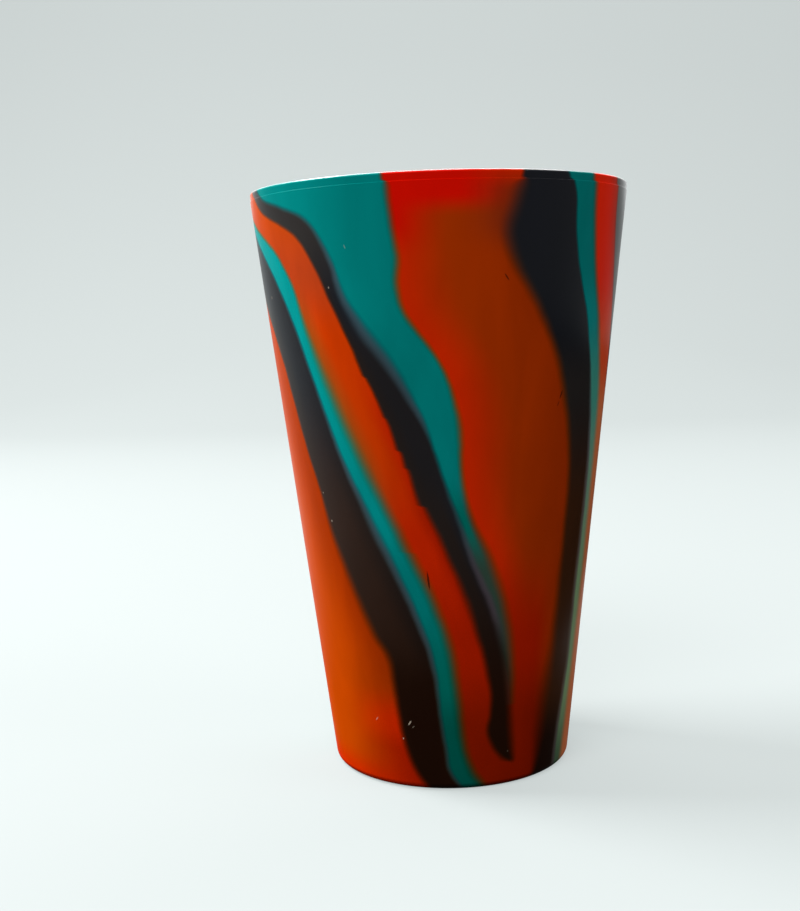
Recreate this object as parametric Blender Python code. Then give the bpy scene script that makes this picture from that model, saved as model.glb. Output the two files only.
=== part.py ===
"""Silicone pint cup, moulded from strips of teal, orange and black silicone.

The strips are laid in the mould side by side and cure into one wall, so each streak of
colour is one solid: it starts at the middle of the floor, crosses the foot ring and the
heel, climbs the wall and ends at the crown of the rounded lip.  Neighbouring streaks
follow the same bond line, right through the wall.

Metres, +Z up, origin at the centre of the foot on the table.  Angles are in degrees round
the cup from the front (-Y), positive towards +X.
"""

import math

import bmesh
import bpy

MM = 0.001

# Outside of the cup
CUP_HEIGHT = 140.0 * MM
RIM_DIAMETER = 91.0 * MM  # where the wall's outer line reaches the top
FOOT_DIAMETER = 58.0 * MM  # where the wall's outer line reaches the table
HEEL_RADIUS = 2.0 * MM

# Wall, floor and lip
WALL_THICKNESS = 4.0 * MM
FLOOR_THICKNESS = 6.0 * MM  # from the table to the inside of the floor
INNER_CORNER_RADIUS = 9.0 * MM
LIP_HEIGHT = 2.1 * MM  # from the mould's parting line to the top
LIP_SETBACK = 0.15 * MM  # ledge that the parting line leaves round the foot of the lip
LIP_ROUNDING = 0.5 * MM  # of both edges of the lip
LIP_CROWN = 0.15 * MM  # rise of the top between its rounded edges

# Underside
FOOT_RING_WIDTH = 6.0 * MM
RECESS_DEPTH = 1.2 * MM
RECESS_CHAMFER = 1.0 * MM

# Streaks
TONGUE_TIP_HEIGHT = 5.7 * MM  # the black tongue ends here
TEAL_TIP_HEIGHT = 20.0 * MM  # the front teal panel narrows to nothing here
BOND_GAP = 0.02 * MM  # keeps bonded streaks apart as solids
FLOOR_SWIRL = 38.0  # degrees that the streaks turn between the foot ring and the centre
LIP_DRIFT = -1.0  # degrees by which the streaks step round above the parting line
DRIFT_HEIGHT = 0.4 * MM  # height over which they step

# Facets
FACET_ANGLE = 7.5
FLOOR_STEPS = 4
HEEL_STEPS = 3
WALL_STEPS = 28
LIP_STEPS = 4
END_DENSITY = 0.5  # 0 spaces the wall's rings evenly, 1 packs them at foot and lip

MERGE_DISTANCE = 1e-7
SHARP_ANGLE = math.radians(30.0)

SILICONES = {
    "teal_silicone": ((0.0, 0.235, 0.225, 1.0), 0.38),
    "orange_silicone": ((0.56, 0.062, 0.004, 1.0), 0.38),
    "black_silicone": ((0.013, 0.012, 0.013, 1.0), 0.36),
}

# Each streak with its silicone and the flow line on its left: (height, angle).  Heights run
# from 0 at the table to a line's last point at the lip, and stretch with the cup.
# The line on its right is the next streak's.  The last streak meets the first.
STREAKS = (
    (
        "orange_panel_left",
        "orange_silicone",
        ((0, -88), (20, -88), (40, -90), (60, -95), (80, -106), (100, -120), (120, -140), (140, -155)),
    ),
    (
        "black_band_left",
        "black_silicone",
        ((0, -10.5), (5, -17), (12, -21.3), (20, -23), (28, -24), (33, -26), (37, -30.5), (45, -36.5),
         (60, -46.3), (70, -50.5), (80, -55.5), (92, -61), (100, -65), (110, -74), (122, -93),
         (132, -110), (140, -122)),
    ),
    (
        "teal_band_left",
        "teal_silicone",
        ((0, 5), (5, -1), (10, -2.5), (20, -5), (28, -6), (35, -8.5), (45, -14.5), (60, -24.5),
         (70, -31.5), (80, -38), (95, -45.5), (108, -52.5), (116, -58.5), (122, -65), (128, -75),
         (134, -89), (140, -106)),
    ),
    (
        "orange_band_centre",
        "orange_silicone",
        ((0, 16), (5, 10), (12, 6), (22, 4), (32, 2), (42, -2.5), (52, -8.5), (65, -18), (80, -29),
         (95, -38), (108, -45.5), (117, -50), (122, -54.5), (126, -60), (130, -69.5), (135, -84),
         (140, -97)),
    ),
    (
        "black_tongue_centre",
        "black_silicone",
        ((0, 31), (5.7, 27.5), (6.5, 24), (7.7, 21.5), (10, 18.5), (14, 15.5), (18, 16.5), (23, 17),
         (28, 15.5), (35, 12.5), (45, 7.5), (57, 0), (70, -8.5), (85, -17), (100, -26.5),
         (115, -35.5), (122, -40), (128, -46), (131, -53.5), (134, -63.5), (137, -68.5), (140, -72)),
    ),
    (
        "teal_panel_front",
        "teal_silicone",
        ((0, 31), (5.7, 28.5), (12, 27), (24, 25), (32, 22.5), (42, 18), (55, 9.5), (68, 2.5),
         (80, -3.5), (86, -6.5), (92, -11), (97, -15), (105, -23), (113, -29.5), (122, -33), (128, -37),
         (132, -42), (134.5, -51), (137, -61.5), (140, -66)),
    ),
    (
        "orange_panel_front",
        "orange_silicone",
        ((0, 31), (20, 26.5), (28, 26), (36, 24.5), (45, 21.5), (55, 16), (65, 9), (75, 5.5), (85, 5),
         (93, 3), (100, -1), (110, -10.5), (116, -12.5), (122, -12), (130, -13), (140, -14)),
    ),
    (
        "black_band_right",
        "black_silicone",
        ((0, 40), (6, 42), (15, 43), (25, 45.5), (35, 47.5), (55, 48.5), (72, 49), (82, 47), (92, 43),
         (102, 37.5), (112, 29.5), (120, 23), (127, 20.5), (134, 23), (140, 25)),
    ),
    (
        "teal_band_right",
        "teal_silicone",
        ((0, 56), (10, 57), (20, 59.5), (27, 61), (45, 61.5), (70, 62.5), (82, 61), (95, 57.5),
         (107, 52.5), (118, 46.5), (127, 43), (135, 42), (140, 39.5)),
    ),
    (
        "orange_band_right",
        "orange_silicone",
        ((0, 64), (10, 65.5), (25, 67.5), (45, 69), (72, 68.5), (85, 67.5), (95, 65), (107, 60),
         (120, 54), (130, 51.5), (140, 50.5)),
    ),
    (
        "black_band_back_right",
        "black_silicone",
        ((0, 80), (20, 82), (45, 84.5), (70, 84), (90, 80.5), (105, 76), (120, 70), (130, 66.5),
         (140, 65.5)),
    ),
    (
        "teal_band_back",
        "teal_silicone",
        ((0, 104), (20, 108), (45, 112), (65, 111), (85, 105), (105, 96), (125, 88), (140, 85)),
    ),
    (
        "orange_panel_back",
        "orange_silicone",
        ((0, 120), (20, 127), (42, 133), (62, 132), (82, 123), (105, 110), (125, 102), (140, 99)),
    ),
    (
        "black_band_back",
        "black_silicone",
        ((0, 160), (18, 167), (38, 177), (58, 179), (78, 171), (100, 158), (122, 147), (140, 143)),
    ),
    (
        "teal_panel_back",
        "teal_silicone",
        ((0, 198), (18, 203), (40, 213), (60, 217), (80, 210), (100, 194), (122, 176), (140, 168)),
    ),
)

# Below its height a streak's left line runs with the line before it.
JOINED_BELOW = {
    "teal_panel_front": TONGUE_TIP_HEIGHT,
    "orange_panel_front": TEAL_TIP_HEIGHT,
}

LEAN = math.atan2((RIM_DIAMETER - FOOT_DIAMETER) / 2, CUP_HEIGHT)


def outer_radius(height):
    """Radius of the wall's straight outer line."""
    return FOOT_DIAMETER / 2 + height * math.tan(LEAN)


def inner_radius(height):
    """Radius of the wall's straight inner line."""
    return outer_radius(height) - WALL_THICKNESS / math.cos(LEAN)


def arc_point(centre, radius, angle):
    """Point of the section, as (radius, height), at an angle on a circle."""
    return centre[0] + radius * math.cos(angle), centre[1] + radius * math.sin(angle)


def between(start, end, share):
    """Point of the section at a share of the way from start to end."""
    return tuple(a + (b - a) * share for a, b in zip(start, end))


def end_dense(share):
    """A share of the wall, moved so that steps are short at both ends."""
    return share - END_DENSITY * math.sin(2 * math.pi * share) / (2 * math.pi)


def stations():
    """The section as rungs from the axis to the lip's crown.

    A rung is (outer point, inner point, place): place is "floor", "wall" or "lip".
    """
    floor_angle = -math.pi / 2
    wall_angle = -LEAN

    across = 1 / math.cos(LEAN)

    heel = (outer_radius(HEEL_RADIUS) - HEEL_RADIUS * across, HEEL_RADIUS)
    corner_height = FLOOR_THICKNESS + INNER_CORNER_RADIUS
    corner = (inner_radius(corner_height) - INNER_CORNER_RADIUS * across, corner_height)
    edge = CUP_HEIGHT - LIP_CROWN - LIP_ROUNDING
    outer_edge = (outer_radius(edge) - (LIP_SETBACK + LIP_ROUNDING) * across, edge)
    inner_edge = (inner_radius(edge) + LIP_ROUNDING * across, edge)

    rungs = []

    # Floor: a recess inside the foot ring, under a flat inner floor.
    ring_inside = heel[0] - FOOT_RING_WIDTH
    recess_radius = ring_inside - RECESS_CHAMFER
    underside = [(recess_radius * i / FLOOR_STEPS, RECESS_DEPTH) for i in range(FLOOR_STEPS + 1)]
    underside.append((ring_inside, 0.0))
    for point in underside:
        rungs.append((point, (corner[0] * point[0] / heel[0], FLOOR_THICKNESS), "floor"))

    # Heel outside, rounded corner inside.
    for i in range(HEEL_STEPS + 1):
        angle = floor_angle + (wall_angle - floor_angle) * i / HEEL_STEPS
        outer = arc_point(heel, HEEL_RADIUS, angle)
        inner = arc_point(corner, INNER_CORNER_RADIUS, angle)
        rungs.append((outer, inner, "wall"))

    # Wall, up to the sharp edge at the parting line.
    outer_foot, inner_foot, _ = rungs[-1]
    parting = CUP_HEIGHT - LIP_HEIGHT
    outer_top = (outer_radius(parting), parting)
    inner_top = (inner_radius(parting), parting)
    for i in range(1, WALL_STEPS + 1):
        share = end_dense(i / WALL_STEPS)
        outer = between(outer_foot, outer_top, share)
        inner = between(inner_foot, inner_top, share)
        rungs.append((outer, inner, "wall"))

    # Lip: set back, with both edges rounded alike, and closed along the middle of its crown.
    for height, place in ((parting, "wall"), (parting + DRIFT_HEIGHT, "lip")):
        inside = height + LIP_SETBACK
        outer = (outer_radius(height) - LIP_SETBACK * across, height)
        rungs.append((outer, (inner_radius(inside), inside), place))
    for i in range(LIP_STEPS + 1):
        share = i / LIP_STEPS
        outer_angle = wall_angle + (math.pi / 2 - wall_angle) * share
        inner_angle = math.pi + wall_angle - (math.pi / 2 + wall_angle) * share
        outer = arc_point(outer_edge, LIP_ROUNDING, outer_angle)
        inner = arc_point(inner_edge, LIP_ROUNDING, inner_angle)
        rungs.append((outer, inner, "lip"))
    crown = (between(outer, inner, 0.5)[0], CUP_HEIGHT)
    rungs.append((crown, crown, "lip"))
    return rungs


def on_flow_line(points, share):
    """Angle of a smooth line through (height, angle) points, at a share of its height."""
    height = share * points[-1][0]
    if height <= points[0][0]:
        return points[0][1]
    if height >= points[-1][0]:
        return points[-1][1]
    upper = next(i for i, point in enumerate(points) if point[0] >= height)
    lower = upper - 1

    def slope(i):
        before = points[max(i - 1, 0)]
        after = points[min(i + 1, len(points) - 1)]
        return (after[1] - before[1]) / (after[0] - before[0])

    (h0, a0), (h1, a1) = points[lower], points[upper]
    step = h1 - h0
    t = (height - h0) / step
    return (
        a0 * (2 * t**3 - 3 * t**2 + 1)
        + a1 * (3 * t**2 - 2 * t**3)
        + slope(lower) * step * (t**3 - 2 * t**2 + t)
        + slope(upper) * step * (t**3 - t**2)
    )


def line_angles(rung, foot_radius):
    """Angles of every streak's left line on one rung, and the first again a turn on."""
    (radius, height), _, place = rung
    share = 0.0 if place == "floor" else height / CUP_HEIGHT
    turn = 0.0
    if place == "floor":
        turn = FLOOR_SWIRL * (1 - radius / foot_radius)
    elif place == "lip":
        turn = LIP_DRIFT
    angles = []
    for name, _, points in STREAKS:
        angle = on_flow_line(points, share)
        if name in JOINED_BELOW:
            before = angles[-1] - turn
            joined = place == "floor" or height <= JOINED_BELOW[name]
            angle = before if joined else max(angle, before)
        angles.append(angle + turn)
    angles.append(angles[0] + 360.0)
    return angles


def on_cup(point, angle):
    """Place in space of a section point turned to an angle round the cup."""
    turned = math.radians(angle)
    return point[0] * math.sin(turned), -point[0] * math.cos(turned), point[1]


def drawn_back(rung, left, right):
    """Start and width of a streak on one rung, half the bond gap inside its lines."""
    radius = rung[0][0]
    trim = math.degrees(BOND_GAP / 2 / radius) if radius > BOND_GAP else 0.0
    width = right - left - 2 * trim
    if width <= 0.0:
        return (left + right) / 2, 0.0
    return left + trim, width


def streak_mesh(name, rungs, left, right):
    """Closed solid lofted up the rungs, between the lines left and right of each rung."""
    spans = [drawn_back(*rung_lines) for rung_lines in zip(rungs, left, right)]
    first = max((i for i, span in enumerate(spans) if span[1] <= 0.0), default=0)
    columns = max(2, math.ceil(max(width for _, width in spans) / FACET_ANGLE))

    loft = bmesh.new()
    rows = []
    for (outer, inner, _), (start, width) in list(zip(rungs, spans))[first:]:
        angles = [start + width * k / columns for k in range(columns + 1)]
        rows.append(
            (
                [loft.verts.new(on_cup(outer, angle)) for angle in angles],
                [loft.verts.new(on_cup(inner, angle)) for angle in angles],
            )
        )
    for (outer, inner), (outer_next, inner_next) in zip(rows, rows[1:]):
        for k in range(columns):
            loft.faces.new((outer[k], outer[k + 1], outer_next[k + 1], outer_next[k]))
            loft.faces.new((inner[k], inner_next[k], inner_next[k + 1], inner[k + 1]))
        # Bonded faces: both neighbours split them along the same diagonal.
        loft.faces.new((outer[0], outer_next[0], inner_next[0]))
        loft.faces.new((outer[0], inner_next[0], inner[0]))
        loft.faces.new((outer[-1], inner_next[-1], outer_next[-1]))
        loft.faces.new((outer[-1], inner[-1], inner_next[-1]))

    # The axis, a tongue's tip and the crown are each one line of points.
    bmesh.ops.remove_doubles(loft, verts=loft.verts, dist=MERGE_DISTANCE)
    bmesh.ops.recalc_face_normals(loft, faces=loft.faces)
    mesh = bpy.data.meshes.new(name)
    loft.to_mesh(mesh)
    loft.free()
    mesh.shade_smooth()
    mesh.set_sharp_from_angle(angle=SHARP_ANGLE)
    return mesh


def silicone(name):
    """Moulded silicone rubber, satin on the outside."""
    colour, roughness = SILICONES[name]
    material = bpy.data.materials.new(name)
    material.use_nodes = True
    shader = material.node_tree.nodes["Principled BSDF"]
    shader.inputs["Base Color"].default_value = colour
    shader.inputs["Roughness"].default_value = roughness
    shader.inputs["Metallic"].default_value = 0.0
    material.diffuse_color = colour
    return material


def build_cup():
    """One object for each streak, all under an empty at the foot."""
    for old in list(bpy.data.objects):
        bpy.data.objects.remove(old, do_unlink=True)
    cup = bpy.data.objects.new("silicone_cup", None)
    bpy.context.scene.collection.objects.link(cup)
    materials = {name: silicone(name) for name in SILICONES}

    rungs = stations()
    foot_radius = next(outer[0] for outer, _, place in rungs if place == "wall")
    lines = [line_angles(rung, foot_radius) for rung in rungs]
    for i, (name, silicone_name, _) in enumerate(STREAKS):
        left = [angles[i] for angles in lines]
        right = [angles[i + 1] for angles in lines]
        streak = bpy.data.objects.new(name, streak_mesh(name, rungs, left, right))
        streak.data.materials.append(materials[silicone_name])
        streak.parent = cup
        bpy.context.scene.collection.objects.link(streak)


build_cup()
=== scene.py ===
"""Looks for a silicone pint cup: moulded streaks of teal, orange and black silicone.

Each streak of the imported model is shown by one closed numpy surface.  The cup's section
runs from the middle of the underside, round the foot and the heel, up the wall, over the
lip and down inside to the middle of the floor.  A streak is that section swept between
the flow lines on its two sides.  Every point also knows how far it is from both flow
lines, and the silicone material blends the colours across them.

The camera and the studio are set for an 800 x 911 picture.
"""

import math

import bpy
import numpy as np
from bpy.props import FloatProperty, FloatVectorProperty, IntProperty, PointerProperty
from mathutils import Matrix, Vector


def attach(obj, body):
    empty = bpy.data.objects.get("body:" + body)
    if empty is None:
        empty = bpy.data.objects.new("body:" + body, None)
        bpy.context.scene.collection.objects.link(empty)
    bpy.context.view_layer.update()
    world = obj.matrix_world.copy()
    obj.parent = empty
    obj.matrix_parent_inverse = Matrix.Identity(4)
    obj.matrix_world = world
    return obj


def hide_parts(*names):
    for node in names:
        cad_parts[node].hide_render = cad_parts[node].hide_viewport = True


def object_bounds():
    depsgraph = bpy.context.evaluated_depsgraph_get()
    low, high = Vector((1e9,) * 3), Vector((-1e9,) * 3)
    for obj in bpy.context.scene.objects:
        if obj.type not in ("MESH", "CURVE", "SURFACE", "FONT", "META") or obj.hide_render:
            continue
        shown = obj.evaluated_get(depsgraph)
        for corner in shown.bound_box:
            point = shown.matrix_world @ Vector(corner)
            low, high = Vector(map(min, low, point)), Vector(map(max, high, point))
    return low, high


bl_info = {
    "name": "Silicone pint cup",
    "version": (1, 0, 0),
    "blender": (4, 5, 0),
    "location": "3D View > Sidebar > Cup",
    "description": "Builds a moulded silicone cup with flowing streaks of colour",
    "category": "Add Mesh",
}

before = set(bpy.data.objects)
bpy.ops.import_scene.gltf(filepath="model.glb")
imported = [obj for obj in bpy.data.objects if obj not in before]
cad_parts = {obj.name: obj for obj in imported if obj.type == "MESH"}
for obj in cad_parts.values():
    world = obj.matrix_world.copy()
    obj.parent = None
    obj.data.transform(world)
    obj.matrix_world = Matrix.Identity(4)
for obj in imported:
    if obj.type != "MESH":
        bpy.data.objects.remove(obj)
CAD_LOW, CAD_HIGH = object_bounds()
MM = 0.001
IMAGE_WIDTH = 800
IMAGE_HEIGHT = 911

# The camera, found from the cup's outline in the photo: degrees, metres, and the focal length
# in pixels of the picture.
CAMERA_YAW = -2.0504
CAMERA_PITCH = -6.4089
CAMERA_ROLL = -1.7232
CAMERA_PLACE = (0.0, -0.30765, 0.10996)
FOCAL_PIXELS = 1243.66
# Lamps: name, place, height aimed at on the axis, size across and up, the setting that holds
# the power, and whether the camera sees the lamp, in metres.
LAMPS = (
    ("side_lamp", (-0.85, 0.22, 1.0), 0.08, (0.6, 0.6), "key_power", True),
    ("front_lamp", (-0.3, -0.85, 1.1), 0.07, (0.7, 0.7), "front_power", True),
    ("right_lamp", (1.0, -0.35, 1.0), 0.1, (0.6, 0.6), "right_power", True),
    ("left_rim_lamp", (-0.52, 0.9, 0.42), 0.12, (0.45, 0.45), "rim_power", False),
    ("right_rim_lamp", (0.52, 0.9, 0.42), 0.12, (0.45, 0.45), "rim_power", False),
    ("top_lamp", (0.1, 0.6, 1.0), 0.13, (1.6, 0.25), "top_power", True),
)
# The upright sheet of black felt that the cup's right side mirrors.
FLAG_HALF_WIDTH = 0.15
FLAG_HEIGHT = 0.092
FLAG_PLACE = (0.1, 0.08, 0.001)
# How the floor glows and takes light where it is seen, what it throws back on the cup, and
# how bright the backdrop is seen.
FLOOR_GLOW = 0.66
FLOOR_SEEN = 0.12
FLOOR_BOUNCE = 0.08
BACKDROP = 0.75
SILICONE_IOR = 1.41
CROWN_IOR = 1.75


def linear(hex_colour):
    """sRGB hex colour as linear RGBA."""
    parts = [int(hex_colour[i : i + 2], 16) / 255 for i in (1, 3, 5)]
    light = [c / 12.92 if c <= 0.04045 else ((c + 0.055) / 1.055) ** 2.4 for c in parts]
    return (*light, 1.0)


# Pigments stirred into the silicone, as they look in even light, save where a note says that a pigment
# holds painted shade or painted sheen.
PIGMENTS = {
    "teal": ("#00625F", "Body of the teal streaks"),
    "bright_teal": ("#006E6C", "Thin teal streaks"),
    # Darker towards the foot: partly the teal's own tone, partly painted shade near the table.
    "deep_teal": ("#00534A", "Teal low on the wall"),
    "bottle_green": ("#00433A", "Teal at the foot"),
    "grey_teal": ("#5F7D68", "Teal streak half way up the right"),
    "sea_teal": ("#357A6C", "The same streak above that"),
    # Painted sheen: pale grey-green that stands in for the glancing reflection low on the right side.
    "sage": ("#69825E", "Teal streak low on the right"),
    "olive": ("#3C523C", "Teal that has taken up some orange"),
    "moss": ("#24352C", "Teal that has taken up more orange"),
    "red": ("#A40800", "Reddest part of the orange, at the lip"),
    "red_orange": ("#A01C00", "Orange next to teal"),
    "burnt_orange": ("#7E2400", "Body of the large orange panels"),
    "amber": ("#953300", "Yellowest orange"),
    # Darker towards the foot: partly the orange's own tone, partly painted shade near the table.
    "dark_red": ("#661000", "Orange near the foot"),
    "black": ("#0C0D12", "Body of the black streaks"),
    "warm_black": ("#140C09", "Black that has taken up a little orange"),
    "soft_black": ("#0F0C0E", "Black between the two"),
    "peat": ("#1F110A", "Black that has taken up more orange"),
    "slate": ("#4D3D49", "Haze where black and teal ran together"),
    "brown_black": ("#2E180A", "Black blended with orange"),
    # Darker low on the wall: partly the orange's own tone, partly painted shade near the table.
    "deep_red": ("#841400", "Orange low on the wall"),
    "rust": ("#A02B00", "Orange between the black bands"),
    "brick": ("#8A2D0E", "The same orange near the lip"),
    "dark_rust": ("#6A2008", "Orange by the right-hand black, near the lip"),
    "umber_orange": ("#80360A", "The same orange along the teal"),
    "red_coral": ("#B83C18", "Thin orange streak on the right, half way up"),
    "scarlet": ("#C81E04", "Thin orange streak on the right"),
    # Painted sheen: pale orange that stands in for the glancing reflection low on the right side.
    "coral": ("#B0603A", "The same streak low on the wall"),
    "umber_black": ("#160904", "Black low on the wall"),
    # Greyer black: by the lip on the left it is painted sheen, standing in for the lamps' shine there.
    "charcoal": ("#1D1A19", "Black by the lip on the left"),
}
# Colours are mixed as their roots, so that a blend runs in even steps to the eye.
MIXING_ROOT = 2.4
# Where a flow line tore as the strips were pressed together: the streak on its right, and
# each notch as (height of its foot, how far the streak laps over, length up the line) in mm.
TEARS = {
    "black_tongue_centre": (
        (68.3, 0.9, 7),
        (76.5, 0.5, 3),
        (80.5, 0.6, 6),
        (88.0, 0.3, 4),
        (97.0, 0.45, 6),
    ),
    "orange_band_centre": ((57.5, 0.5, 5),),
}
# Where a streak laps thinly over its left neighbour all along, or below 0 lies thinly under
# it: (height, mm).
LAPS = {
    "teal_band_left": ((0, 0), (35, -0.2), (52, -0.2), (60, 0)),
    "teal_panel_front": ((0, 0), (75, 0), (80, -0.2), (92, -0.3), (100, -0.6), (110, -0.6), (118, 0)),
    "orange_band_centre": ((0, 0.6), (42, 0.6), (65, 0.8), (80, 0.8), (95, 1.0), (108, 0.9), (120, 0)),
    "black_band_right": ((0, 0), (116, 0), (126, 0.7), (137, 0.7), (138.2, 0)),
}
# Small marks on the wall: (angle, height, length, width, lean from upright, how pale or, below
# 0, how dark), in degrees and mm.  Pale ones are lint, dark ones painted shade in nicks in the bond.
MARKS = (
    (-18.0, 16.5, 1.7, 0.45, 35, 0.5),
    (-16.5, 15.6, 1.0, 0.35, 50, 0.15),
    (-21.5, 12.5, 0.6, 0.45, 0, 0.45),
    (-34.0, 16.5, 1.4, 0.4, 40, 0.25),
    (-46.0, 63.5, 0.7, 0.45, 0, 0.3),
    (-67.0, 115.0, 0.9, 0.6, 0, 0.2),
    (-34.5, 116.5, 0.6, 0.45, 0, 0.25),
    (-49.0, 70.0, 0.5, 0.4, 0, 0.2),
    (-27.5, 125.0, 1.2, 0.4, -20, 0.12),
    (19.5, 117.5, 2.2, 0.4, -35, -0.8),
    (41.5, 91.5, 2.6, 0.5, 20, -0.8),
    (40.5, 89.5, 1.6, 0.4, 25, -0.6),
    (-7.0, 51.0, 5.5, 0.6, -5, -0.8),
    (25.5, 8.6, 0.5, 0.4, 0, 0.1),
)
LINT_COLOUR = "#B9AC9A"
# Painted shade: the dark colour laid on the small nicks, for the shadow inside them.
NICK_SHADE_COLOUR = "#1C0A05"
# The haze between teal and black starts where the blend is this wide and is full here, in mm.
HAZE_FROM = 0.5
HAZE_FULL = 1.4

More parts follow.
